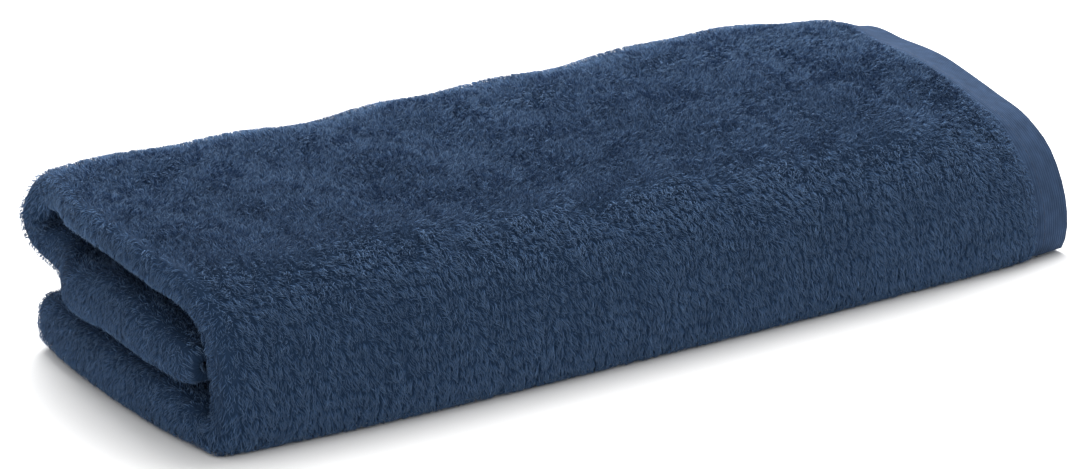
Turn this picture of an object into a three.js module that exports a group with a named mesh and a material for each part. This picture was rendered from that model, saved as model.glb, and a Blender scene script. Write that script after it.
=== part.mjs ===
// A plush terry pool towel, folded and lying flat.
//
// The towel is one cloth. It is folded in half end to end, so that the half fold is the ridge at the
// left end and the two hems lie together at the right end. The doubled cloth is then folded in thirds
// across its width: it runs forward along the bottom, up round the front fold, back along the top,
// down round the back fold, and forward again in the middle, where its free edge lies inside the front
// fold. A vertical cut along the width meets six layers of cloth.
//
// Units are millimetres. +X is along the folded length, from the half fold to the hems, +Y is towards
// the back and +Z is up. The origin is under the middle of the folded towel, on the surface it lies on.
import * as THREE from "three";

// The cloth, laid flat.
const CLOTH_LENGTH = 1420;
const CLOTH_WIDTH = 760;
const CLOTH_COLOUR = 0x2c405c;

// The flat woven hem at each end of the cloth.
const HEM_WIDTH = 28;
const HEM_THICKNESS = 3.5;
const HEM_STEP = 2; // how far the outer hem's face lies under the pile beside it
const HEM_SLOPE = 6; // length over which the pile thins to the hem
const INNER_HEM_SHORT = 5; // how much further in the inner hem lies

// The selvedges, along the two long sides of the cloth.
const SELVEDGE_THICKNESS = 5;
const SELVEDGE_ROUND = 9;

// The folded towel.
const FOLDED_LENGTH = CLOTH_LENGTH / 2;
const RIDGE_SWELL_LENGTH = 45; // how far the fuller ridge of the half fold reaches into the stack
const RIDGE_FILL = 0.35; // how much thicker the cloth is half way round a ridge, pressed by the next one
const STATIONS = [0, 540, 690]; // places along the length that FOLD_LINE gives

// The middle of the outer layer in a cut across the folded towel, from the free edge under the back to
// the free edge inside the front fold. across: distance over the flat cloth. left, middle and right:
// [y, z] at the three stations, y from the front and z from the surface. thick: the cloth with its pile,
// pressed thinner in the front fold and on top. apart: from the middle of the outer layer to the middle
// of the inner one. swell: how much fuller the ridge of the half fold is than
// that. inset: how far the ridge lies behind the foremost one.
const COLUMNS = ["place", "across", "left", "middle", "right", "thick", "apart", "swell", "inset"];
const ROWS = [
  ["bottom, free edge", 0, [244, 8], [244, 8], [250, 8], 15, 24, 1.1, 6],
  ["bottom, back", 70, [180, 7], [175, 7], [180, 7], 15, 26, 1.1, -1],
  ["bottom, middle", 140, [110, 6.5], [106, 6.5], [110, 6.5], 15, 26, 1.1, -3],
  ["bottom, front", 190, [61, 6.5], [55, 6.5], [60, 6.5], 15, 22, 1.1, -1],
  ["front fold, foot", 219, [27, 6.5], [28, 6.5], [27, 6.5], 14, 15.5, 1.1, 2.5],
  ["front fold, corner", 232, [9, 5.5], [11.5, 5.5], [8.5, 5.5], 13, 14.5, 1.1, 6],
  ["front fold, low", 243, [4, 15], [7.5, 15], [4, 15], 12, 13.8, 1.1, 9],
  ["front fold, waist", 264, [4.5, 47], [6.5, 46], [7, 43], 12, 13.8, 1.1, 11],
  ["front fold, high", 286, [12, 85], [11.5, 77.5], [23, 71.5], 12, 13.8, 1.1, 9],
  ["front fold, crown", 308, [33, 105.5], [29.5, 101.5], [46.5, 88.5], 12.5, 13.8, 1.1, 5],
  ["top, front", 340, [74, 110.5], [65, 112.2], [80, 100.2], 12, 13.4, 1.02, 1],
  ["top, middle", 391, [125, 112.3], [112, 120.7], [130, 113.2], 12, 13.4, 1.02, 0],
  ["top, back", 446, [180, 115.2], [167, 127.5], [182, 120.5], 12.5, 14, 1.05, 2],
  ["back fold, crown", 497, [226, 118.5], [219, 132.5], [224, 127.5], 13, 14.4, 1.1, 9.5],
  ["back fold, high", 514, [249, 111.5], [246, 124.5], [246, 119], 13, 15, 1.1, 10],
  ["back fold, waist", 531, [264, 89], [260, 97], [258, 94], 13.5, 16.5, 1.15, 7],
  ["back fold, low", 549, [255, 69.5], [250, 71], [251, 70], 14, 18, 1.2, 8],
  ["back fold, foot", 566, [230, 60.5], [224, 61], [230, 60], 15, 20.5, 1.2, 12],
  ["inside, back", 618, [180, 52], [174, 57], [180, 56], 15, 19, 1.15, -3],
  ["inside, middle", 673, [125, 52], [122, 55.5], [128, 53.5], 15, 25.5, 1.18, -4],
  ["inside, front", 723, [76, 49], [76, 51.5], [92, 51], 15, 21.5, 1.1, -4],
  ["inside, free edge", 760, [28, 45], [36, 48.5], [72, 48], 15, 13.5, 1, 3],
];
const FOLD_LINE = ROWS.map((row) => Object.fromEntries(COLUMNS.map((name, i) => [name, row[i]])));
const DIRECTION_REACH = 30; // the layers lie square to a chord of the fold line this long each way

// The front fold bellies forward between the two ends: how far, and the places across that it moves.
const BELLY = { forward: 14, from: 140, full: 225, still: 300, to: 430 };

// How far short of the folded length the outer hem ends: at the front, and across the top to the back.
const HEM_SKEW = { from: 440, to: 550, front: 4, back: 24 };

// The stack settles over the thin hems: over what length of cloth, and by what share of its height at the
// front, and from across the top to the back.
const HEM_SETTLE = { length: 45, from: 390, to: 480, front: 0.03, back: 0.085 };

// Long soft waves in the top and front: wave length along and across, height, and phase in radians.
const WAVES = [
  { along: 550, across: 900, height: 2.1, phase: 3.83 },
  { along: 220, across: -260, height: 1.2, phase: 5.01 },
  { along: 105, across: 190, height: 1.2, phase: 0.62 },
];

// Steps of the mesh: along the cloth to each side of the half fold, and across it.
const STEPS = { ridge: 5, run: 20, hemSlope: 2, hem: 2, selvedge: 3, row: 2 };

const lerp = THREE.MathUtils.lerp;
const smoothstep = THREE.MathUtils.smoothstep;

// The value at x of the smooth curve through the given knots: cubics, whose slope at each knot is the
// weighted mean of the slopes on either side.
function smoothCurve(knots, values, x) {
  const last = knots.length - 1;
  const slopes = [];
  for (let i = 0; i < last; i++) {
    slopes.push((values[i + 1] - values[i]) / (knots[i + 1] - knots[i]));
  }
  const slopeAt = (i) => {
    if (i === 0) return slopes[0];
    if (i === last) return slopes[last - 1];
    const before = knots[i] - knots[i - 1];
    const after = knots[i + 1] - knots[i];
    return (after * slopes[i - 1] + before * slopes[i]) / (before + after);
  };
  let i = 0;
  while (i < last - 1 && x > knots[i + 1]) i++;
  const span = knots[i + 1] - knots[i];
  const t = (x - knots[i]) / span;
  const [p0, p1, m0, m1] = [values[i], values[i + 1], slopeAt(i) * span, slopeAt(i + 1) * span];
  const a = 2 * p0 - 2 * p1 + m0 + m1;
  const b = 3 * p1 - 3 * p0 - 2 * m0 - m1;
  return ((a * t + b) * t + m0) * t + p0;
}

// A value given at the three stations, at a distance x along the folded towel.
function alongStations(values, x) {
  const [first, second, third] = STATIONS;
  if (x < second) return lerp(values[0], values[1], smoothstep(x, first, second));
  return lerp(values[1], values[2], smoothstep(x, second, third));
}

const ACROSS = FOLD_LINE.map((row) => row.across);

// The place of the fold line at x along and v across.
function foldPlace(x, v) {
  const atStations = (row, k) => [row.left[k], row.middle[k], row.right[k]];
  const column = (k) => FOLD_LINE.map((row) => alongStations(atStations(row, k), x));
  const bow = 1 - Math.min(Math.abs((2 * x) / FOLDED_LENGTH - 1), 1) ** 4;
  const part = smoothstep(v, BELLY.from, BELLY.full) - smoothstep(v, BELLY.still, BELLY.to);
  const y = smoothCurve(ACROSS, column(0), v) - BELLY.forward * bow * part;
  return [y, smoothCurve(ACROSS, column(1), v)];
}

// The fold line's place, and the direction out of the spiral in which the layers are stacked there.
function foldLine(x, v) {
  const [y, z] = foldPlace(x, v);
  const before = foldPlace(x, Math.max(v - DIRECTION_REACH, 0));
  const after = foldPlace(x, Math.min(v + DIRECTION_REACH, CLOTH_WIDTH));
  const [dy, dz] = [after[0] - before[0], after[1] - before[1]];
  const length = Math.hypot(dy, dz);
  return { y, z, ny: -dz / length, nz: dy / length };
}

const apartAt = (v) => smoothCurve(ACROSS, FOLD_LINE.map((row) => row.apart), v);
const thickAt = (v) => smoothCurve(ACROSS, FOLD_LINE.map((row) => row.thick), v);
const swellAt = (v) => smoothCurve(ACROSS, FOLD_LINE.map((row) => row.swell), v);
const insetAt = (v) => smoothCurve(ACROSS, FOLD_LINE.map((row) => row.inset), v);

// Half the cloth's thickness at u along the cloth, from the half fold, and v across it.
function halfThickness(u, v) {
  const toHem = FOLDED_LENGTH - Math.abs(u) - HEM_WIDTH;
  const pile = smoothstep(toHem, 0, HEM_SLOPE);
  const body = lerp(HEM_THICKNESS, thickAt(v), pile);
  const toEdge = Math.min(v, CLOTH_WIDTH - v, SELVEDGE_ROUND);
  const round = Math.sqrt(1 - (1 - toEdge / SELVEDGE_ROUND) ** 2);
  const edge = Math.min(body, SELVEDGE_THICKNESS);
  return lerp(edge, body, round) / 2;
}

// The radius of the half fold's ridge, and the cloth that turns through a quarter of it.
const ridgeRadius = (v) => (apartAt(v) / 2) * swellAt(v);
const quarterTurn = (v) => (Math.PI / 2) * ridgeRadius(v);

// The middle of one layer in a cut along the length: x along, w out of the spiral from the fold line,
// the direction to its outside face, and how full that face is. The outer layer has u above zero.
function layerLine(u, v) {
  const apart = apartAt(v);
  const ridge = ridgeRadius(v);
  const quarter = quarterTurn(v);
  const start = insetAt(v);
  if (Math.abs(u) < quarter) {
    const angle = u / ridge;
    return {
      x: start + ridge * (1 - Math.cos(angle)),
      w: ridge * Math.sin(angle) - apart / 2,
      nx: -Math.cos(angle),
      nw: Math.sin(angle),
      full: 1 + RIDGE_FILL * Math.sin(2 * angle) ** 2,
    };
  }
  const side = Math.sign(u);
  const run = Math.abs(u) - quarter;
  const half = lerp(ridge, apart / 2, smoothstep(run, 0, RIDGE_SWELL_LENGTH));
  const outerHem = (thickAt(v) - HEM_THICKNESS) / 2 - HEM_STEP;
  const hem = 1 - smoothstep(FOLDED_LENGTH - Math.abs(u), HEM_WIDTH, HEM_WIDTH + HEM_SLOPE);
  const skew = lerp(HEM_SKEW.front, HEM_SKEW.back, smoothstep(v, HEM_SKEW.from, HEM_SKEW.to));
  const short = skew + (side < 0 ? INNER_HEM_SHORT : 0);
  return {
    x: start + ridge + run * (1 - (short + start) / (FOLDED_LENGTH - quarter)),
    w: side * half - apart / 2 + (side > 0 ? hem * outerHem : 0),
    nx: 0,
    nw: side,
    full: 1,
  };
}

const wave = (x, v) =>
  WAVES.reduce(
    (sum, row) => sum + row.height * Math.sin(2 * Math.PI * (x / row.along + v / row.across) + row.phase),
    0,
  );

// A point of the cloth's face. face is 1 on the face that shows outside and -1 on the one folded in.
function clothPoint(u, v, face) {
  const layer = layerLine(u, v);
  const half = halfThickness(u, v) * (face > 0 ? layer.full : 1);
  const x = layer.x + face * half * layer.nx;
  const w = layer.w + face * half * layer.nw;
  const line = foldLine(Math.max(layer.x, 0), v);
  const lift = smoothstep(line.z, 40, 110) * wave(x, v);
  const share = lerp(HEM_SETTLE.front, HEM_SETTLE.back, smoothstep(v, HEM_SETTLE.from, HEM_SETTLE.to));
  const settle = 1 - share * smoothstep(Math.abs(u), FOLDED_LENGTH - HEM_SETTLE.length, FOLDED_LENGTH);
  const y = line.y + w * line.ny;
  const z = (line.z + w * line.nz + lift) * settle;
  return new THREE.Vector3(x, y, Math.max(z, 0));
}

// Numbers from one value to another in equal steps, without the last.
const spread = (from, to, steps) =>
  Array.from({ length: steps }, (_, i) => lerp(from, to, i / steps));

// The lines of the mesh along the cloth, from the inner hem to the outer one. Each is a function of the
// place across, as the ridge of the half fold takes more cloth where it is fuller.
function linesAlong() {
  const hem = FOLDED_LENGTH - HEM_WIDTH;
  const pile = hem - HEM_SLOPE;
  const outer = [
    ...spread(0, 1, STEPS.ridge).map((part) => (v) => part * quarterTurn(v)),
    ...spread(0, 1, STEPS.run).map((part) => (v) => lerp(quarterTurn(v), pile, part)),
    ...spread(pile, hem, STEPS.hemSlope).map((u) => () => u),
    ...spread(hem, FOLDED_LENGTH, STEPS.hem).map((u) => () => u),
    () => FOLDED_LENGTH,
  ];
  const inner = outer.slice(1).map((line) => (v) => -line(v));
  return [...inner.reverse(), ...outer];
}

// The lines of the mesh across the cloth: the round selvedges, and equal steps from row to row.
function linesAcross() {
  const lines = spread(0, SELVEDGE_ROUND, STEPS.selvedge).map((v) => (v * v) / SELVEDGE_ROUND);
  lines.push(SELVEDGE_ROUND);
  const selvedge = lines.map((v) => CLOTH_WIDTH - v).reverse();
  for (let i = 0; i < ACROSS.length - 1; i++) {
    const from = Math.max(ACROSS[i], SELVEDGE_ROUND);
    const to = Math.min(ACROSS[i + 1], CLOTH_WIDTH - SELVEDGE_ROUND);
    lines.push(...spread(from, to, STEPS.row).filter((v) => v > SELVEDGE_ROUND));
  }
  return [...lines, ...selvedge];
}

// One closed surface: the outside face, the face folded in, and a narrow strip round all four edges.
function clothGeometry() {
  const along = linesAlong();
  const across = linesAcross();
  const positions = [];
  for (const face of [1, -1]) {
    for (const line of along) {
      for (const v of across) positions.push(...clothPoint(line(v), v, face).toArray());
    }
  }
  const rows = along.length - 1;
  const columns = across.length - 1;
  const at = (i, j, face) => ((face > 0 ? 0 : rows + 1) + i) * (columns + 1) + j;
  const index = [];
  const quad = (a, b, c, d) => index.push(a, c, b, a, d, c);
  for (let i = 0; i < rows; i++) {
    for (let j = 0; j < columns; j++) {
      quad(at(i, j, 1), at(i, j + 1, 1), at(i + 1, j + 1, 1), at(i + 1, j, 1));
      quad(at(i, j, -1), at(i + 1, j, -1), at(i + 1, j + 1, -1), at(i, j + 1, -1));
    }
    quad(at(i, 0, -1), at(i, 0, 1), at(i + 1, 0, 1), at(i + 1, 0, -1));
    quad(at(i + 1, columns, -1), at(i + 1, columns, 1), at(i, columns, 1), at(i, columns, -1));
  }
  for (let j = 0; j < columns; j++) {
    quad(at(0, j + 1, -1), at(0, j + 1, 1), at(0, j, 1), at(0, j, -1));
    quad(at(rows, j, -1), at(rows, j, 1), at(rows, j + 1, 1), at(rows, j + 1, -1));
  }
  const geometry = new THREE.BufferGeometry();
  geometry.setAttribute("position", new THREE.Float32BufferAttribute(positions, 3));
  geometry.setIndex(index);
  geometry.computeVertexNormals();
  return geometry;
}

const cloth = new THREE.Mesh(
  clothGeometry(),
  new THREE.MeshStandardMaterial({ color: CLOTH_COLOUR, roughness: 0.95, metalness: 0 }),
);
cloth.name = "towel";
cloth.geometry.computeBoundingBox();
const middle = cloth.geometry.boundingBox.getCenter(new THREE.Vector3());
cloth.position.set(-middle.x, -middle.y, 0);

const towel = new THREE.Group();
towel.add(cloth);

export default towel;
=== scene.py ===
import math

import bpy
import numpy as np
from mathutils import Matrix, Vector


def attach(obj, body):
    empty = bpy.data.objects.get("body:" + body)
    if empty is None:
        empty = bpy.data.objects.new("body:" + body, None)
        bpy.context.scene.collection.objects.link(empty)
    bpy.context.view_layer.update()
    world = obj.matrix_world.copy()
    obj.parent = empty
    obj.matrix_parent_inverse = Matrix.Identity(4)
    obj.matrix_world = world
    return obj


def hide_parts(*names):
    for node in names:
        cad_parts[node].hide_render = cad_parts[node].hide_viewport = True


MM = 0.001

# The cloth laid flat.
CLOTH_LENGTH = 1420
CLOTH_WIDTH = 760

# The flat woven hem at each end of the cloth.
HEM_WIDTH = 28
HEM_THICKNESS = 3.5
HEM_STEP = 2  # how far the outer hem's face lies under the pile beside it
HEM_SLOPE = 6  # length over which the pile thins to the hem
INNER_HEM_SHORT = 5  # how much further in the inner hem lies

# The selvedges, along the two long sides of the cloth.
SELVEDGE_THICKNESS = 5
SELVEDGE_ROUND = 9

# The folded towel.
FOLDED_LENGTH = CLOTH_LENGTH / 2
RIDGE_SWELL_LENGTH = 45  # how far the fuller ridge of the half fold reaches into the stack
RIDGE_FILL = 0.35  # how much thicker the cloth is half way round a ridge
STATIONS = [0, 540, 690]  # places along the length that the fold line gives

# The middle of the outer layer in a cut across the folded towel, from the free edge under the back to
# the free edge inside the front fold. Columns: distance over the flat cloth, y and z at the left, middle
# and right station, thickness with the pile, distance to the middle of the inner layer, how much fuller
# than that the ridge of the half fold is, and how far the ridge lies behind the foremost one.
FOLD_LINE = np.array([
    [0, 244, 8, 244, 8, 250, 8, 15, 24, 1.1, 6],  # bottom, free edge
    [70, 180, 7, 175, 7, 180, 7, 15, 26, 1.1, -1],
    [140, 110, 6.5, 106, 6.5, 110, 6.5, 15, 26, 1.1, -3],
    [190, 61, 6.5, 55, 6.5, 60, 6.5, 15, 22, 1.1, -1],
    [219, 27, 6.5, 28, 6.5, 27, 6.5, 14, 15.5, 1.1, 2.5],  # front fold, foot
    [232, 9, 5.5, 11.5, 5.5, 8.5, 5.5, 13, 14.5, 1.1, 6],
    [243, 4, 15, 7.5, 15, 4, 15, 12, 13.8, 1.1, 9],
    [264, 4.5, 47, 6.5, 46, 7, 43, 12, 13.8, 1.1, 11],
    [286, 12, 85, 11.5, 77.5, 23, 71.5, 12, 13.8, 1.1, 9],
    [308, 33, 105.5, 29.5, 101.5, 46.5, 88.5, 12.5, 13.8, 1.1, 5],  # front fold, crown
    [340, 74, 110.5, 65, 112.2, 80, 100.2, 12, 13.4, 1.02, 1],
    [391, 125, 112.3, 112, 120.7, 130, 113.2, 12, 13.4, 1.02, 0],
    [446, 180, 115.2, 167, 127.5, 182, 120.5, 12.5, 14, 1.05, 2],
    [497, 226, 118.5, 219, 132.5, 224, 127.5, 13, 14.4, 1.1, 9.5],  # back fold, crown
    [514, 249, 111.5, 246, 124.5, 246, 119, 13, 15, 1.1, 10],
    [531, 264, 89, 260, 97, 258, 94, 13.5, 16.5, 1.15, 7],
    [549, 255, 69.5, 250, 71, 251, 70, 14, 18, 1.2, 8],
    [566, 230, 60.5, 224, 61, 230, 60, 15, 20.5, 1.2, 12],  # back fold, foot
    [618, 180, 52, 174, 57, 180, 56, 15, 19, 1.15, -3],
    [673, 125, 52, 122, 55.5, 128, 53.5, 15, 25.5, 1.18, -4],
    [723, 76, 49, 76, 51.5, 92, 51, 15, 21.5, 1.1, -4],
    [760, 28, 45, 36, 48.5, 72, 48, 15, 13.5, 1, 3],  # inside, free edge
])
ACROSS, LEFT_Y, LEFT_Z, MIDDLE_Y, MIDDLE_Z, RIGHT_Y, RIGHT_Z, THICK, APART, SWELL, INSET = FOLD_LINE.T
DIRECTION_REACH = 30  # the layers lie square to a chord of the fold line this long each way

# The front fold bellies forward between the two ends: how far, and the places across that it moves.
BELLY_FORWARD = 14
BELLY_STARTS = (140, 225)
BELLY_ENDS = (300, 430)

# How far short of the folded length the outer hem ends: at the front, and across the top to the back.
HEM_SKEW = (4, 24)
HEM_SKEW_TURN = (440, 550)

# The stack settles over the thin hems: over what length of cloth, and by what share of its height at
# the front and at the back.
SETTLE_LENGTH = 45
SETTLE_SHARE = (0.03, 0.085)
SETTLE_TURN = (390, 480)

# Long soft waves in the top and front: wave length along and across, height, and phase in radians.
WAVES = [(550, 900, 2.1, 3.83), (220, -260, 1.2, 5.01), (105, 190, 1.2, 0.62)]
WAVES_FROM_HEIGHT = (40, 110)

# The pile, over the ground weave.
PILE_DEPTH = 2.8  # from the ground weave up to the face of the solid
PILE_LEAST = (0.66, 1.1)  # how low the pile may be, on the slope to the hems and elsewhere
PILE_SHORT = (5.5, 13)  # how far from the hems the last strands are rooted, at the front and the back
PILE_SHORT_TURN = (430, 520)
PILE_END_WOBBLE = [(9, 2.2), (3.5, 1.6)]  # how its end wavers: hill size and height
PILE_THINS = (10, 0.3)  # over what length towards the hems the strands get lower, and by what share
SELVEDGE_BARE = 1.5  # how far from the selvedges the last strands are rooted
FLOOR_CLEARANCE = 0.2  # how far over the floor the strands stay
LEAST_SCALE = 0.2  # what a millimetre of flat cloth is at least taken to become inside a fold

# Each strand: its root in the ground weave, a bend half way, and its tip.
STRAND_LENGTH = (4.2, 7.2)
STRAND_SHORTER = 0.55  # share of the length that is left where the pile slopes down to the hems
STRAND_WIDTH = (0.32, 0.55)
STRAND_SINK = 0.6  # how deep its root lies in the ground weave
STRAND_LEAN = (35, 74)  # degrees off upright, of the lower and the upper half of a combed strand
STRAND_LEAN_SPREAD = 13  # degrees, of the upper half
STRAND_STRETCH = (0.4, 1.3)  # how far it may be pressed down or drawn up to the pile's height
STRAND_UNEVEN = 0.13  # spread of the strands' heights
FULL_DENSITY = 0.88  # a distance between strands at which they cover the cloth; beyond it they are wider

# Spreads over the strands, where the cloth lies and where it stands: of their tone, and, in radians, of
# the turn from the lower half to the upper and of the twist about their length.
TONE_UNEVEN = (0.4, 0.075)
STRAND_TURN = (0.7, 0.35)
STRAND_TWIST = (0.65, 0.27)

# The way that strands lean: down where the cloth stands, with shares of the lean that are added where it
# lies, towards the hems and over the selvedges. The angles are in radians.
SWIRL_SIZE = 18
SWIRL_TURN = 1.3 * math.pi  # how far the way of the lean swings over the cloth
SWIRL_TUFT = 0.9  # its spread from tuft to tuft
SWIRL_STRAND = 0.7  # and from strand to strand
SWIRL_LEAN = 0.46
HEM_OVER = 0.135
EDGE_OVER = 1.44
EDGE_REACH = (12, 2)  # between these distances from the selvedges the strands get longer and lean over
EDGE_LONGER = 0.6

# Loose strands that stand out with a painted highlight, more of them on the crown of the back fold, where
# painted light falls.
LOOSE_SHARE = (0.05, 0.17)  # their share of all strands, and the same on that crown
LOOSE_RISE = 0.5
# painted highlight on the loose strands
LOOSE_HIGHLIGHT = 0.35
CROWN = (370, 470, 505, 530)  # the places across between which that crown rises and falls
CROWN_PAINTED_LIGHT = 0.2  # how much paler painted light makes its pile

# The pile's tufts: the distances between them along and across the cloth, how far strands are drawn to
# the middle of theirs, and how much higher than the even pile they stand, with the spread from one tuft
# to the next.
TUFT_SIZE = (3.6, 5.2)
TUFT_SHIFT = 0.42  # how far its middle lies off an even grid, in tuft sizes
TUFT_BORDER = 0.7  # how far its border lies from its middle, in tuft sizes
TUFT_PULL = (0.12, 0.32)
TUFT_HEIGHT = 0.2
TUFT_LEVEL = 0.4  # the squared share of the way to the border at which a tuft is as high as even pile
TUFT_SPREAD = 0.15

# Partings between tufts, darkened with painted shade: their size along and across, how deep they are and
# how much painted shade darkens them where the cloth lies and where it stands, and the part of the noise
# over which they open.
PARTING_SIZE = (4.5, 8)
PARTING_DEPTH = (0.3, 0.9)
PARTING_SHADE = (0.05, 0.13)
PARTING_FROM = (0.42, 0.68)

# The strands' tone, from dark at 0 to pale at 1.
TONE_MIDDLE = 0.48
TONE_LIMITS = (0.02, 0.98)
TONE_TUFT = 0.03  # its spread from tuft to tuft
TONE_PATCHES = [(45, 0.03), (16, 0.018)]  # hill size and strength
STRAND_MAP = (0.02, 0.5, 0.5, 0.98)  # how far up the strand its four vertices lie on its map

# Noise: the rows and columns of a table, after which it repeats, how far apart the two faces of the cloth
# lie in it, and the seeds.
NOISE_TABLE = 256
FACE_APART = 5000
SWIRL_SEED = 23
PATCH_SEED = 25
TUFT_PLACE_SEED = 31
TUFT_LOOK_SEED = 32
PARTING_SEED = 33
PILE_END_SEED = 41
STRAND_SEED = 100

# Steps of the cloth's mesh: along the cloth to each side of the half fold, and across it.
STEPS_RIDGE = 12
STEPS_RUN = 64
STEPS_HEM = 16
STEP_ACROSS = 7.5
SELVEDGE_LINES = (0, 0.3, 1.2, 2.8, 5)  # distances from a selvedge, before the even steps

# Where pile is set. Each row: the piece, cloth face, range along from the half fold (below zero on the
# inner layer), range across, and distance between strands.
PILE = [
    ("pile_front", 1, (-20, 686), (212, 304), 0.88),
    ("pile_top", 1, (-20, 686), (304, 402), 0.88),
    ("pile_top_back", 1, (-20, 686), (402, 506), 0.92),
    ("pile_left", 1, (-56, -20), (2, 758), 0.92),
    ("pile_left", 1, (-20, 60), (2, 212), 0.92),
    ("pile_left", 1, (-20, 60), (600, 758), 0.92),
    ("pile_left", -1, (-30, 30), (720, 758), 1.2),
    ("pile_back", 1, (-20, 686), (506, 600), 1.2),
    ("pile_under", 1, (60, 684), (5, 212), 3.4),
    ("pile_under", 1, (-684, -56), (3, 40), 1.9),
    ("pile_under", -1, (-684, 684), (3, 30), 2.1),
    ("pile_right", 1, (560, 684), (600, 757), 1.7),
    ("pile_right", 1, (-684, -640), (40, 757), 1.7),
    ("pile_right", -1, (640, 684), (30, 757), 1.7),
    ("pile_right", -1, (-684, -640), (30, 757), 1.7),
]

# Stitches of the turned hem.
STITCH_LENGTH = 2.6
STITCH_PITCH = 3.4
STITCH_WIDTH = 0.55
STITCH_FROM_PILE = 2.5
STITCH_HEIGHT = 0.7  # as a share of its width
STITCH_END_WIDTH = 0.3  # the same
STITCH_SINK = 0.15
STITCH_STEPS = 4  # along and around a stitch

RIB_PITCH = 2.4  # of the flat ribs woven along the hems
RIB_GROOVE_SHADE = (0.72, 0.74, 0.78, 1)  # painted shade between the ribs: what it makes of the colour
HEM_MOTTLE = (0.75, 1.25)  # how dark and how pale the hem is in places
SHADE_FADE = 6  # length over which painted shade darkens the ground weave under the pile

# Colours, as linear light.
# painted shade: the ground weave under the pile, as dark as the shadow there
GROUND_SHADE_COLOUR = (0.015, 0.033, 0.070, 1)
# painted shade at the strands' roots, deep in the pile; the thread's darker mottle uses it too
ROOT_SHADE_AND_DARK_THREAD = (0.010, 0.027, 0.074, 1)
PILE_COLOUR = (0.047, 0.092, 0.184, 1)
# painted highlight on the strands' tips
TIP_HIGHLIGHT_COLOUR = (0.097, 0.148, 0.232, 1)
HEM_COLOUR = (0.030, 0.054, 0.105, 1)
THREAD_COLOUR = (0.023, 0.043, 0.088, 1)
SHEEN_COLOUR = (0.50, 0.66, 0.92, 1)
FLOOR_COLOUR = (0.90, 0.90, 0.90, 1)

# What a strand's tone makes of its colour: factors at places from 0 to 1.
TONE_SHADES = [(0.0, (0.35, 0.38, 0.44, 1)), (0.5, (0.95, 0.95, 0.95, 1)), (1.0, (1.9, 1.8, 1.7, 1))]

# The studio: light from all around, and soft lights. Each row: name, place and target in metres, width
# and height, and watts.
WORLD_LIGHT = 0.79
LIGHTS = [
    ("overhead", (0.55, 0.5, 1.75), (0.05, 0, 0), (1.8, 1.4), 48),
    ("back", (0.45, 1.8, 1.3), (0, 0.05, 0.1), (1.5, 1.0), 49),
]
FLOOR_REACH = 8

# The camera, in metres in the frame of the part: the photograph's view.
CAMERA_PLACE = (-1.2310, -1.7665, 0.7628)
CAMERA_VIEW = (0.53739, 0.78194, -0.31588)
CAMERA_UP = (0.17891, 0.26033, 0.94880)
CAMERA_LENS = 109.2


def lerp(a, b, t):
    return a + (b - a) * t


def smoothstep(x, low, high):
    t = np.clip((x - low) / (high - low), 0, 1)
    return t * t * (3 - 2 * t)


def smooth_curve(values, v):
    """A column of the fold line at v: cubics, whose slope at a knot is the mean of those beside it."""
    gaps = np.diff(ACROSS)
    slopes = np.diff(values) / gaps
    inner = (gaps[1:] * slopes[:-1] + gaps[:-1] * slopes[1:]) / (gaps[:-1] + gaps[1:])
    slope = np.concatenate([slopes[:1], inner, slopes[-1:]])
    i = np.clip(np.searchsorted(ACROSS, v) - 1, 0, len(gaps) - 1)
    t = (v - ACROSS[i]) / gaps[i]
    p0, p1, m0, m1 = values[i], values[i + 1], slope[i] * gaps[i], slope[i + 1] * gaps[i]
    return (((2 * p0 - 2 * p1 + m0 + m1) * t + (3 * p1 - 3 * p0 - 2 * m0 - m1)) * t + m0) * t + p0


def fold_place(x, v):
    """y and z of the fold line at x along and v across."""
    first = smoothstep(x, STATIONS[0], STATIONS[1])
    second = smoothstep(x, STATIONS[1], STATIONS[2])

    def along_stations(left, middle, right):
        left, middle, right = (smooth_curve(column, v) for column in (left, middle, right))
        return left + (middle - left) * first + (right - middle) * second

    bow = 1 - np.minimum(np.abs(2 * x / FOLDED_LENGTH - 1), 1) ** 4
    part = smoothstep(v, *BELLY_STARTS) - smoothstep(v, *BELLY_ENDS)
    y = along_stations(LEFT_Y, MIDDLE_Y, RIGHT_Y) - BELLY_FORWARD * bow * part
    return y, along_stations(LEFT_Z, MIDDLE_Z, RIGHT_Z)


def fold_line(x, v):
    """The fold line's place, and the direction out of the spiral in which the layers are stacked."""
    y, z = fold_place(x, v)
    y0, z0 = fold_place(x, np.maximum(v - DIRECTION_REACH, 0))
    y1, z1 = fold_place(x, np.minimum(v + DIRECTION_REACH, CLOTH_WIDTH))
    length = np.hypot(y1 - y0, z1 - z0)
    return y, z, -(z1 - z0) / length, (y1 - y0) / length


def pile_share(u, v):
    """Two shares that are 1 where the cloth is full, and fall to 0 on the hems and at the selvedges."""
    to_hem = FOLDED_LENGTH - np.abs(u) - HEM_WIDTH
    to_edge = np.clip(np.minimum(v, CLOTH_WIDTH - v), 0, SELVEDGE_ROUND)
    selvedge = np.sqrt(1 - (1 - to_edge / SELVEDGE_ROUND) ** 2)
    return smoothstep(to_hem, 0, HEM_SLOPE), selvedge


def half_thickness(u, v):
    pile, selvedge = pile_share(u, v)
    body = lerp(HEM_THICKNESS, smooth_curve(THICK, v), pile)
    return lerp(np.minimum(body, SELVEDGE_THICKNESS), body, selvedge) / 2


def ridge_radius(v):
    return smooth_curve(APART, v) / 2 * smooth_curve(SWELL, v)


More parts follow.
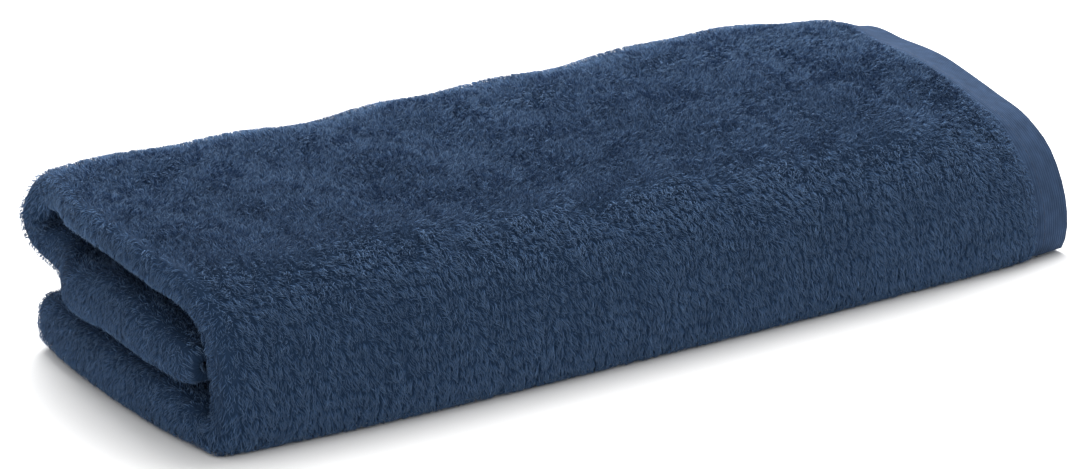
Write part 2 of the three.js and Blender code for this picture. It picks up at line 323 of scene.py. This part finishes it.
def layer_line(u, v):
    """The middle of one layer in a cut along the length: x, the distance w out of the spiral from the
    fold line, the direction to its outside face, and how full that face is."""
    apart = smooth_curve(APART, v)
    ridge = ridge_radius(v)
    quarter = math.pi / 2 * ridge
    start = smooth_curve(INSET, v)
    turning = np.abs(u) < quarter

    angle = u / ridge
    turn_x = start + ridge * (1 - np.cos(angle))
    turn_w = ridge * np.sin(angle) - apart / 2

    side = np.where(u < 0, -1, 1)
    run = np.abs(u) - quarter
    half = lerp(ridge, apart / 2, smoothstep(run, 0, RIDGE_SWELL_LENGTH))
    outer_hem = (smooth_curve(THICK, v) - HEM_THICKNESS) / 2 - HEM_STEP
    hem = 1 - smoothstep(FOLDED_LENGTH - np.abs(u), HEM_WIDTH, HEM_WIDTH + HEM_SLOPE)
    short = lerp(*HEM_SKEW, smoothstep(v, *HEM_SKEW_TURN)) + np.where(side < 0, INNER_HEM_SHORT, 0)
    run_x = start + ridge + run * (1 - (short + start) / (FOLDED_LENGTH - quarter))
    run_w = side * half - apart / 2 + np.where(side > 0, hem * outer_hem, 0)

    x = np.where(turning, turn_x, run_x)
    w = np.where(turning, turn_w, run_w)
    out_x = np.where(turning, -np.cos(angle), 0)
    out_w = np.where(turning, np.sin(angle), side)
    full = np.where(turning, 1 + RIDGE_FILL * np.sin(2 * angle) ** 2, 1)
    return x, w, out_x, out_w, full


def wave(x, v):
    return sum(height * np.sin(2 * math.pi * (x / along + v / across) + phase)
               for along, across, height, phase in WAVES)


def cloth_point(u, v, face, inset=0):
    """Places on the cloth's face, in millimetres: face 1 shows outside and -1 is folded in. inset is how
    deep under the face of the solid they lie."""
    x, w, out_x, out_w, full = layer_line(u, v)
    half = half_thickness(u, v) * np.where(face > 0, full, 1) - inset
    line_y, line_z, out_y, out_z = fold_line(np.maximum(x, 0), v)
    lift = smoothstep(line_z, *WAVES_FROM_HEIGHT) * wave(x, v)
    x = x + face * half * out_x
    w = w + face * half * out_w
    share = lerp(*SETTLE_SHARE, smoothstep(v, *SETTLE_TURN))
    settle = 1 - share * smoothstep(np.abs(u), FOLDED_LENGTH - SETTLE_LENGTH, FOLDED_LENGTH)
    z = (line_z + w * out_z + lift) * settle
    return np.stack([x, line_y + w * out_y, np.maximum(z, 0)], -1)


def soft_noise(u, v, cell, seed):
    """Smooth noise from -1 to 1 over the flat cloth, with hills about two cells apart. A cell is one
    size, or a size along and one across."""
    size = NOISE_TABLE
    table = np.random.default_rng(seed).uniform(-1, 1, (size, size))
    cell_along, cell_across = np.broadcast_to(cell, 2)
    a, b = u / cell_along, v / cell_across
    i, j = np.floor(a).astype(int), np.floor(b).astype(int)
    s, t = smoothstep(a - i, 0, 1), smoothstep(b - j, 0, 1)
    low = lerp(table[i % size, j % size], table[(i + 1) % size, j % size], s)
    high = lerp(table[i % size, (j + 1) % size], table[(i + 1) % size, (j + 1) % size], s)
    return lerp(low, high, t)


def unit(vectors):
    return vectors / np.maximum(np.linalg.norm(vectors, axis=-1, keepdims=True), 1e-9)


def nearest_tuft(u, v):
    """The tuft that each place belongs to: how far its middle lies along and across the cloth, how near
    the place is to the tuft's border (0 in the middle, about 1 there), and the tuft's number."""
    size = NOISE_TABLE
    shift = np.random.default_rng(TUFT_PLACE_SEED).uniform(-TUFT_SHIFT, TUFT_SHIFT, (size, size, 2))
    a, b = u / TUFT_SIZE[0], v / TUFT_SIZE[1]
    i, j = np.floor(a).astype(int), np.floor(b).astype(int)
    best = np.full(a.shape, np.inf)
    way_u, way_v, number = np.zeros_like(a), np.zeros_like(a), np.zeros(a.shape, int)
    for step_i in (-1, 0, 1):
        for step_j in (-1, 0, 1):
            row, column = (i + step_i) % size, (j + step_j) % size
            near_u = i + step_i + 0.5 + shift[row, column, 0] - a
            near_v = j + step_j + 0.5 + shift[row, column, 1] - b
            distance = np.hypot(near_u, near_v)
            closer = distance < best
            best = np.where(closer, distance, best)
            way_u = np.where(closer, near_u * TUFT_SIZE[0], way_u)
            way_v = np.where(closer, near_v * TUFT_SIZE[1], way_v)
            number = np.where(closer, row * size + column, number)
    return way_u, way_v, best / TUFT_BORDER, number


def ground_inset(u, v):
    """How deep the ground weave lies under the face of the solid."""
    pile, selvedge = pile_share(u, v)
    return PILE_DEPTH * pile * selvedge


def ground_frame(u, v, face):
    """The outward normal of the ground weave, and what a millimetre along and across the flat cloth
    becomes there."""
    step = 0.5
    inset = ground_inset(u, v)
    along = cloth_point(u + step, v, face, inset) - cloth_point(u - step, v, face, inset)
    across = cloth_point(u, v + step, face, inset) - cloth_point(u, v - step, face, inset)
    outward = cloth_point(u, v, face, inset - step) - cloth_point(u, v, face, inset + step)
    normal = unit(np.cross(along, across))
    normal *= np.where(np.sum(normal * outward, -1) < 0, -1, 1)[..., None]
    return normal, along / (2 * step), across / (2 * step)


def new_mesh(name, vertices, loops, sizes, coordinates, material):
    """A mesh object from arrays: vertices in millimetres in the folds' own frame, the vertices of every
    face in one row, the faces' sizes, and map coordinates per vertex."""
    mesh = bpy.data.meshes.new(name)
    mesh.vertices.add(len(vertices))
    mesh.vertices.foreach_set("co", ((vertices - SHIFT) * MM).astype(np.float32).ravel())
    mesh.loops.add(len(loops))
    mesh.loops.foreach_set("vertex_index", loops.astype(np.int32))
    mesh.polygons.add(len(sizes))
    starts = np.concatenate([[0], np.cumsum(sizes)[:-1]])
    mesh.polygons.foreach_set("loop_start", starts.astype(np.int32))
    mesh.polygons.foreach_set("loop_total", sizes.astype(np.int32))
    mesh.polygons.foreach_set("use_smooth", np.ones(len(sizes), bool))
    layer = mesh.uv_layers.new(name="OFBake")
    layer.data.foreach_set("uv", coordinates[loops].astype(np.float32).ravel())
    mesh.update(calc_edges=True)
    mesh.validate()
    mesh.materials.append(material)
    piece = bpy.data.objects.new(name, mesh)
    bpy.context.scene.collection.objects.link(piece)
    return piece


def lines_along():
    """A function that gives the places along the cloth, from the inner hem to the outer one, at places
    across it. Those on the ridge of the half fold are shares of its quarter turn, which differs across
    the cloth."""
    slope_start = FOLDED_LENGTH - HEM_WIDTH - HEM_SLOPE
    ridge = np.arange(STEPS_RIDGE) / STEPS_RIDGE
    run = np.arange(STEPS_RUN) / STEPS_RUN
    hem = np.linspace(slope_start, FOLDED_LENGTH, STEPS_HEM + 1)

    def at(v):
        quarter = math.pi / 2 * ridge_radius(v)
        outer = np.concatenate([
            ridge[:, None] * quarter,
            lerp(quarter, slope_start, run[:, None]),
            np.repeat(hem[:, None], len(v), axis=1),
        ])
        return np.concatenate([-outer[:0:-1], outer])

    return at


def lines_across():
    selvedge = np.array([*SELVEDGE_LINES, SELVEDGE_ROUND])
    count = round((CLOTH_WIDTH - 2 * SELVEDGE_ROUND) / STEP_ACROSS)
    middle = np.linspace(SELVEDGE_ROUND, CLOTH_WIDTH - SELVEDGE_ROUND, count + 1)[1:-1]
    return np.concatenate([selvedge, middle, CLOTH_WIDTH - selvedge[::-1]])


def cloth_piece(material):
    """The ground of the cloth: one closed sheet, its two faces joined round the edges."""
    v = lines_across()
    u = lines_along()(v)
    rows, columns = u.shape
    v = np.broadcast_to(v, u.shape)
    faces, maps = [], []
    for face in (1, -1):
        faces.append(cloth_point(u, v, face, ground_inset(u, v)).reshape(-1, 3))
        across = (v / CLOTH_WIDTH + (face < 0)) / 2
        maps.append(np.stack([u / CLOTH_LENGTH + 0.5, across], -1).reshape(-1, 2))
    i, j = np.meshgrid(np.arange(rows - 1), np.arange(columns - 1), indexing="ij")
    here = (i * columns + j).ravel()
    quads = np.stack([here, here + columns, here + columns + 1, here + 1], -1)
    inner = rows * columns
    loop = [quads, quads[:, ::-1] + inner]

    def strip(edge):
        """Joins the two faces along an edge, given as its vertices in the order of the first face."""
        a, b = edge[:-1], edge[1:]
        return np.stack([b, a, a + inner, b + inner], -1)

    row, column = np.arange(rows) * columns, np.arange(columns)
    loop.append(strip(row))
    loop.append(strip((row + columns - 1)[::-1]))
    loop.append(strip(column[::-1]))
    loop.append(strip(column + (rows - 1) * columns))
    loops = np.concatenate(loop)
    return new_mesh("towel_cloth", np.concatenate(faces), loops.ravel(), np.full(len(loops), 4),
                    np.concatenate(maps), material)


def pile_end(v):
    """How far along from the half fold the pile reaches, on average."""
    return FOLDED_LENGTH - HEM_WIDTH - lerp(*PILE_SHORT, smoothstep(v, *PILE_SHORT_TURN))


def hem_nearness(u, v):
    """1 where the pile ends beside a hem, falling to 0 where it is full."""
    return 1 - smoothstep(pile_end(v) - np.abs(u), 0, PILE_THINS[0])


def edge_nearness(v):
    """1 beside a selvedge, falling to 0 further in."""
    start, end = (CLOTH_WIDTH / 2 - distance for distance in EDGE_REACH)
    return smoothstep(np.abs(v - CLOTH_WIDTH / 2), start, end)


def crown_share(v):
    """1 on the crown of the back fold, falling to 0 beside it."""
    return smoothstep(v, *CROWN[:2]) - smoothstep(v, *CROWN[2:])


def strand_roots(along, across, distance, random):
    """Places on a jittered grid over one stretch of cloth."""
    u = np.arange(along[0], along[1], distance)
    v = np.arange(across[0], across[1], distance)
    u, v = (grid.ravel() for grid in np.meshgrid(u, v, indexing="ij"))
    u = u + random.uniform(-0.5, 0.5, len(u)) * distance
    v = v + random.uniform(-0.5, 0.5, len(v)) * distance
    end = pile_end(v)
    for seed, (size, height) in enumerate(PILE_END_WOBBLE, PILE_END_SEED):
        end = end + height * soft_noise(u, v, size, seed)
    keep = (np.abs(u) < end) & (v > SELVEDGE_BARE) & (v < CLOTH_WIDTH - SELVEDGE_BARE)
    return u[keep], v[keep]


def strand_leans(u, v, side, hang, tuft, random):
    """Which way each strand leans along and across the cloth, and how far, from 0 to 1."""
    swirl = SWIRL_TURN * soft_noise(side, v, SWIRL_SIZE, SWIRL_SEED)
    swirl = swirl + SWIRL_TUFT * tuft + random.normal(0, SWIRL_STRAND, len(u))
    over_hem = HEM_OVER * np.sign(u) * hem_nearness(u, v)
    over_edge = EDGE_OVER * np.sign(v - CLOTH_WIDTH / 2) * edge_nearness(v)
    lean = SWIRL_LEAN * np.stack([np.cos(swirl), np.sin(swirl)]) + hang + np.stack([over_hem, over_edge])
    amount = np.hypot(*lean)
    return lean / np.maximum(amount, 1e-6), np.minimum(amount, 1)


def strand_heights(u, v, steep, border, tuft, loose, parting, random):
    """How high each strand reaches over the ground weave."""
    pile, _ = pile_share(u, v)
    dome = TUFT_HEIGHT * (TUFT_LEVEL - border ** 2) + TUFT_SPREAD * tuft
    depth = lerp(*PARTING_DEPTH, steep) * parting
    height = ground_inset(u, v) + (dome - depth) * pile + LOOSE_RISE * loose
    height = height + random.normal(0, STRAND_UNEVEN, len(u))
    height = height * (1 - PILE_THINS[1] * hem_nearness(u, v))
    return np.maximum(height, lerp(*PILE_LEAST, pile))


def strand_tones(v, side, steep, tuft, loose, parting, random):
    """How pale each strand is, from 0 to 1, with painted shade in the partings and painted light on the
    crown and the loose strands.
    """
    uneven = random.normal(0, 1, len(v)) * lerp(*TONE_UNEVEN, steep)
    # Painted light on the crown of the back fold.
    tone = TONE_MIDDLE + TONE_TUFT * tuft + CROWN_PAINTED_LIGHT * crown_share(v) + uneven
    for seed, (size, strength) in enumerate(TONE_PATCHES, PATCH_SEED):
        tone = tone + strength * soft_noise(side, v, size, seed)
    # Painted highlight on the loose strands.
    # Painted shade in the partings.
    tone = tone - lerp(*PARTING_SHADE, steep) * parting + LOOSE_HIGHLIGHT * loose
    return np.clip(tone, *TONE_LIMITS)


def strands(u, v, face, distance, random):
    """The vertices and map coordinates of the strands with these roots. Each is a narrow leaf: its root,
    the two sides of its bend, and its tip. A strand is laid out over the flat cloth and follows its
    curves."""
    count = len(u)
    side = u + FACE_APART * face
    normal, along, across = ground_frame(u, v, face)
    scale = np.stack([np.linalg.norm(along, axis=-1), np.linalg.norm(across, axis=-1)])
    scale = np.maximum(scale, LEAST_SCALE)
    hang = -np.stack([along[:, 2], across[:, 2]]) / scale
    steep = np.minimum(np.hypot(*hang), 1)

    # Each tuft has its own lean, height and tone, and draws its strands to its middle.
    way_u, way_v, border, number = nearest_tuft(side, v)
    way = np.stack([way_u, way_v])
    looks = np.random.default_rng(TUFT_LOOK_SEED).normal(0, 1, (3, NOISE_TABLE * NOISE_TABLE))
    tuft_turn, tuft_rise, tuft_tone = looks[:, number]

    lean, amount = strand_leans(u, v, side, hang, tuft_turn, random)
    length = random.uniform(*STRAND_LENGTH, count) * (1 + EDGE_LONGER * edge_nearness(v))
    length *= lerp(STRAND_SHORTER, 1, pile_share(u, v)[0]) * (1 - PILE_THINS[1] * hem_nearness(u, v))
    width = random.uniform(*STRAND_WIDTH, count) * distance / FULL_DENSITY
    low = amount * math.radians(STRAND_LEAN[0])
    high = amount * math.radians(STRAND_LEAN[1])
    high = high + random.normal(0, math.radians(STRAND_LEAN_SPREAD), count)
    turn = random.normal(0, 1, count) * lerp(*STRAND_TURN, steep)
    curl = np.cos(turn) * lean + np.sin(turn) * np.stack([-lean[1], lean[0]])

    # Each strand is pressed down or drawn up to the pile's height.
    loose = random.uniform(0, 1, count) < lerp(*LOOSE_SHARE, crown_share(v))
    parting = smoothstep(soft_noise(side, v, PARTING_SIZE, PARTING_SEED), *PARTING_FROM)
    height = strand_heights(u, v, steep, border, tuft_rise, loose, parting, random)
    rise_low = np.cos(low) * length / 2
    rise_high = np.cos(high) * length / 2
    full_rise = np.maximum(rise_low, rise_low + rise_high)
    stretch = np.clip((height + STRAND_SINK) / full_rise, *STRAND_STRETCH)
    height_bend = stretch * rise_low - STRAND_SINK
    height_tip = height_bend + stretch * rise_high

    to_bend = np.sin(low) * length / 2 * lean / scale + TUFT_PULL[0] * way
    to_tip = to_bend + np.sin(high) * length / 2 * curl / scale + (TUFT_PULL[1] - TUFT_PULL[0]) * way

    def place(way, height):
        return cloth_point(u + way[0], v + way[1], face, ground_inset(u, v) - height)

    root = place(np.zeros((2, count)), -STRAND_SINK)
    bend = place(to_bend, height_bend)
    tip = place(to_tip, height_tip)

    twist = random.normal(0, 1, count) * lerp(*STRAND_TWIST, steep)
    flat = unit(np.cross(tip - root, normal))
    edge = np.cos(twist)[:, None] * flat + np.sin(twist)[:, None] * unit(np.cross(flat, tip - root))
    half = (width / 2)[:, None] * edge
    corners = np.stack([root, bend - half, bend + half, tip], 1)
    corners[..., 2] = np.maximum(corners[..., 2], FLOOR_CLEARANCE)

    tone = strand_tones(v, side, steep, tuft_tone, loose, parting, random)
    maps = np.stack(np.broadcast_arrays(tone[:, None], np.array([STRAND_MAP])), -1)
    return corners, maps


def pile_piece(name, rows, material, seed):
    """The strands of these rows of the pile, joined in one mesh."""
    random = np.random.default_rng(seed)
    corners, maps = [], []
    for _, face, along, across, distance in rows:
        u, v = strand_roots(along, across, distance, random)
        found = strands(u, v, face, distance, random)
        corners.append(found[0])
        maps.append(found[1])
    corners, maps = np.concatenate(corners), np.concatenate(maps)
    first = np.arange(len(corners))[:, None] * 4
    loops = (first + np.array([[0, 1, 2, 2, 1, 3]])).ravel()
    sizes = np.full(2 * len(corners), 3)
    return new_mesh(name, corners.reshape(-1, 3), loops, sizes, maps.reshape(-1, 2), material)


def stitches_piece(material):
    """The thread that holds the turned hems: a row of short stitches on each face of each hem."""
    v = np.arange(SELVEDGE_ROUND, CLOTH_WIDTH - SELVEDGE_ROUND, STITCH_PITCH)
    points = STITCH_STEPS + 1
    i, j = np.meshgrid(np.arange(STITCH_STEPS), np.arange(STITCH_STEPS), indexing="ij")
    here = (i * points + j).ravel()
    quads = np.stack([here, here + points, here + points + 1, here + 1], -1)
    first = points ** 2 * np.arange(len(v))[:, None, None]
    vertices, loops = [], []
    for end in (-1, 1):
        for face in (1, -1):
            u = np.full(len(v), end * (FOLDED_LENGTH - HEM_WIDTH + STITCH_FROM_PILE))
            rows = []
            for part in np.linspace(0, 1, points):
                rise = math.sin(math.pi * part) ** 0.5
                row = []
                for angle in np.linspace(0, math.pi, points):
                    side = STITCH_WIDTH / 2 * math.cos(angle) * max(rise, STITCH_END_WIDTH)
                    lift = STITCH_WIDTH * STITCH_HEIGHT * math.sin(angle) * rise - STITCH_SINK
                    row.append(cloth_point(u + side, v + part * STITCH_LENGTH, face, -lift))
                rows.append(np.stack(row, 1))
            turned = quads if end * face > 0 else quads[:, ::-1]
            loops.append((turned[None] + first + len(vertices) * points ** 2 * len(v)).reshape(-1, 4))
            vertices.append(np.stack(rows, 1).reshape(-1, 3))
    vertices, loops = np.concatenate(vertices), np.concatenate(loops)
    maps = np.tile([[0.5, 0.5]], (len(vertices), 1))
    return new_mesh("hem_stitches", vertices, loops.ravel(), np.full(len(loops), 4), maps, material)


def new_material(name):
    material = bpy.data.materials.new(name)
    material.use_nodes = True
    nodes = material.node_tree.nodes
    shader = nodes["Principled BSDF"]
    return material, nodes, material.node_tree.links, shader


def ramp(nodes, stops):
    node = nodes.new("ShaderNodeValToRGB")
    elements = node.color_ramp.elements
    while len(elements) < len(stops):
        elements.new(0.5)
    for element, (place, colour) in zip(elements, stops):
        element.position = place
        element.color = colour
    return node


def mixed(nodes, links, blend, a, b, factor=None):
    """The outcome of a colour mix. Without a factor, b has its full effect."""
    node = nodes.new("ShaderNodeMix")
    node.data_type = "RGBA"
    node.blend_type = blend
    node.clamp_result = False
    node.inputs["Factor"].default_value = 1
    if factor is not None:
        links.new(factor, node.inputs["Factor"])
    if a is not None:
        links.new(a, node.inputs["A"])
    links.new(b, node.inputs["B"])
    return node.outputs["Result"]


def pile_material():
    """Strands with painted shade at the root and a painted highlight at the tip, each a little paler or
    darker.
    """
    material, nodes, links, shader = new_material("terry_pile")
    uv = nodes.new("ShaderNodeUVMap")
    uv.uv_map = "OFBake"
    parts = nodes.new("ShaderNodeSeparateXYZ")
    links.new(uv.outputs["UV"], parts.inputs[0])
    # From root to tip: painted shade low in the pile, the pile's own colour half way, and a painted
    # highlight at the tip.
    up = ramp(nodes, [(0.0, ROOT_SHADE_AND_DARK_THREAD), (0.5, PILE_COLOUR), (1.0, TIP_HIGHLIGHT_COLOUR)])
    links.new(parts.outputs["Y"], up.inputs[0])
    tone = ramp(nodes, TONE_SHADES)
    links.new(parts.outputs["X"], tone.inputs[0])
    colour = mixed(nodes, links, "MULTIPLY", up.outputs[0], tone.outputs[0])
    links.new(colour, shader.inputs["Base Color"])
    shader.inputs["Roughness"].default_value = 0.8
    shader.inputs["Specular IOR Level"].default_value = 0
    shader.inputs["Sheen Weight"].default_value = 0.12
    shader.inputs["Sheen Roughness"].default_value = 0.45
    shader.inputs["Sheen Tint"].default_value = SHEEN_COLOUR
    return material


def cloth_material():
    """The ground weave: painted shade under the pile, and fine flat ribs on the hems with painted shade
    between them.
    """
    material, nodes, links, shader = new_material("terry_ground")
    uv = nodes.new("ShaderNodeUVMap")
    uv.uv_map = "OFBake"
    scale = nodes.new("ShaderNodeMapping")
    scale.inputs["Scale"].default_value = (CLOTH_LENGTH, 2 * CLOTH_WIDTH, 1)
    links.new(uv.outputs["UV"], scale.inputs["Vector"])
    ribs = nodes.new("ShaderNodeTexWave")
    ribs.bands_direction = "X"
    ribs.inputs["Scale"].default_value = math.pi / (10 * RIB_PITCH)
    ribs.inputs["Distortion"].default_value = 1.2
    ribs.inputs["Detail Scale"].default_value = 0.15
    links.new(scale.outputs["Vector"], ribs.inputs["Vector"])
    noise = nodes.new("ShaderNodeTexNoise")
    noise.inputs["Scale"].default_value = 0.12
    noise.inputs["Detail"].default_value = 5
    links.new(scale.outputs["Vector"], noise.inputs["Vector"])
    dark, pale = (tuple(factor * c for c in HEM_COLOUR[:3]) + (1,) for factor in HEM_MOTTLE)
    shade = ramp(nodes, [(0.25, dark), (0.75, pale)])
    links.new(noise.outputs[0], shade.inputs[0])
    # Painted shade between the ribs.
    groove_shade = ramp(nodes, [(0.0, RIB_GROOVE_SHADE), (0.6, (1, 1, 1, 1))])
    links.new(ribs.outputs["Fac"], groove_shade.inputs[0])
    ribbed = mixed(nodes, links, "MULTIPLY", shade.outputs[0], groove_shade.outputs[0])

    # Further in than the last strands the ground weave gets painted shade, darker than the hem, for the
    # shadow under the pile.
    parts = nodes.new("ShaderNodeSeparateXYZ")
    links.new(uv.outputs["UV"], parts.inputs[0])
    from_middle = nodes.new("ShaderNodeMath")
    from_middle.operation = "SUBTRACT"
    links.new(parts.outputs["X"], from_middle.inputs[0])
    from_middle.inputs[1].default_value = 0.5
    along = nodes.new("ShaderNodeMath")
    along.operation = "ABSOLUTE"
    links.new(from_middle.outputs[0], along.inputs[0])
    bare = nodes.new("ShaderNodeMapRange")
    # where the painted shade under the pile gives way to the hem's colour
    shade_end = 0.5 - (HEM_WIDTH + PILE_SHORT[1]) / CLOTH_LENGTH
    bare.inputs["From Min"].default_value = shade_end - SHADE_FADE / CLOTH_LENGTH
    bare.inputs["From Max"].default_value = shade_end
    links.new(along.outputs[0], bare.inputs["Value"])
    colour = mixed(nodes, links, "MIX", None, ribbed, bare.outputs["Result"])
    colour.node.inputs["A"].default_value = GROUND_SHADE_COLOUR
    links.new(colour, shader.inputs["Base Color"])

    bump = nodes.new("ShaderNodeBump")
    bump.inputs["Strength"].default_value = 0.5
    bump.inputs["Distance"].default_value = 0.0004
    links.new(ribs.outputs["Fac"], bump.inputs["Height"])
    links.new(bump.outputs["Normal"], shader.inputs["Normal"])
    shader.inputs["Roughness"].default_value = 0.85
    shader.inputs["Specular IOR Level"].default_value = 0.05
    shader.inputs["Sheen Weight"].default_value = 0.05
    shader.inputs["Sheen Roughness"].default_value = 0.5
    shader.inputs["Sheen Tint"].default_value = SHEEN_COLOUR
    return material


def thread_material():
    material, nodes, links, shader = new_material("hem_thread")
    noise = nodes.new("ShaderNodeTexNoise")
    noise.inputs["Scale"].default_value = 900
    # The thread's darker mottle borrows the strands' root colour, here only as a darker tone of the
    # thread.
    shade = ramp(nodes, [(0.3, ROOT_SHADE_AND_DARK_THREAD), (0.7, THREAD_COLOUR)])
    links.new(noise.outputs[0], shade.inputs[0])
    links.new(shade.outputs[0], shader.inputs["Base Color"])
    shader.inputs["Roughness"].default_value = 0.6
    return material


def add_floor():
    size = FLOOR_REACH
    mesh = bpy.data.meshes.new("floor")
    corners = [(-size, -size, 0), (size, -size, 0), (size, size, 0), (-size, size, 0)]
    mesh.from_pydata(corners, [], [(0, 1, 2, 3)])
    floor = bpy.data.objects.new("floor", mesh)
    bpy.context.scene.collection.objects.link(floor)
    material, _, _, shader = new_material("floor_paper")
    shader.inputs["Base Color"].default_value = FLOOR_COLOUR
    shader.inputs["Roughness"].default_value = 0.9
    mesh.materials.append(material)


def add_area_light(name, place, target, size, power):
    """A soft rectangular light, size wide and high."""
    light = bpy.data.lights.new(name, "AREA")
    light.shape = "RECTANGLE"
    light.size, light.size_y = size
    light.energy = power
    lamp = bpy.data.objects.new(name, light)
    lamp.location = place
    lamp.rotation_euler = (Vector(target) - Vector(place)).to_track_quat("-Z", "Y").to_euler()
    bpy.context.scene.collection.objects.link(lamp)


def add_lights():
    world = bpy.data.worlds.new("studio")
    world.use_nodes = True
    background = world.node_tree.nodes["Background"]
    background.inputs["Color"].default_value = (1, 1, 1, 1)
    background.inputs["Strength"].default_value = WORLD_LIGHT
    bpy.context.scene.world = world
    for row in LIGHTS:
        add_area_light(*row)


def add_camera():
    data = bpy.data.cameras.new("camera")
    data.lens = CAMERA_LENS
    data.sensor_width = 36
    data.clip_end = 50
    camera = bpy.data.objects.new("camera", data)
    view, up = Vector(CAMERA_VIEW).normalized(), Vector(CAMERA_UP)
    right = view.cross(up).normalized()
    up = right.cross(view)
    turn = Matrix((right, up, -view)).transposed().to_4x4()
    camera.matrix_world = Matrix.Translation(CAMERA_PLACE) @ turn
    bpy.context.scene.collection.objects.link(camera)
    bpy.context.scene.camera = camera


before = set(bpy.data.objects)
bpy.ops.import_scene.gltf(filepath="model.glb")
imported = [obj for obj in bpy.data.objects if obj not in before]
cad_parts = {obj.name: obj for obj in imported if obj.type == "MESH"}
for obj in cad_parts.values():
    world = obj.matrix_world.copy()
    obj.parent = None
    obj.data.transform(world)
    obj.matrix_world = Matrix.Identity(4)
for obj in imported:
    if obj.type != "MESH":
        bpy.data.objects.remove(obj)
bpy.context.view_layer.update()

# The middle of the solid's box lies over the origin.
solid = np.concatenate([cloth_point(lines_along()(lines_across()), lines_across(), face).reshape(-1, 3)
                        for face in (1, -1)])
SHIFT = np.append((solid.min(0)[:2] + solid.max(0)[:2]) / 2, 0)

add_camera()
add_lights()
add_floor()

cloth = cloth_piece(cloth_material())
stitches = stitches_piece(thread_material())
fuzz = pile_material()
piles = []
for number, name in enumerate(dict.fromkeys(row[0] for row in PILE)):
    rows = [row for row in PILE if row[0] == name]
    piles.append(pile_piece(name, rows, fuzz, STRAND_SEED + number))

for piece in [cloth, stitches, *piles]:
    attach(piece, "root")
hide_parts("towel")

bpy.context.scene.view_settings.view_transform = "Standard"
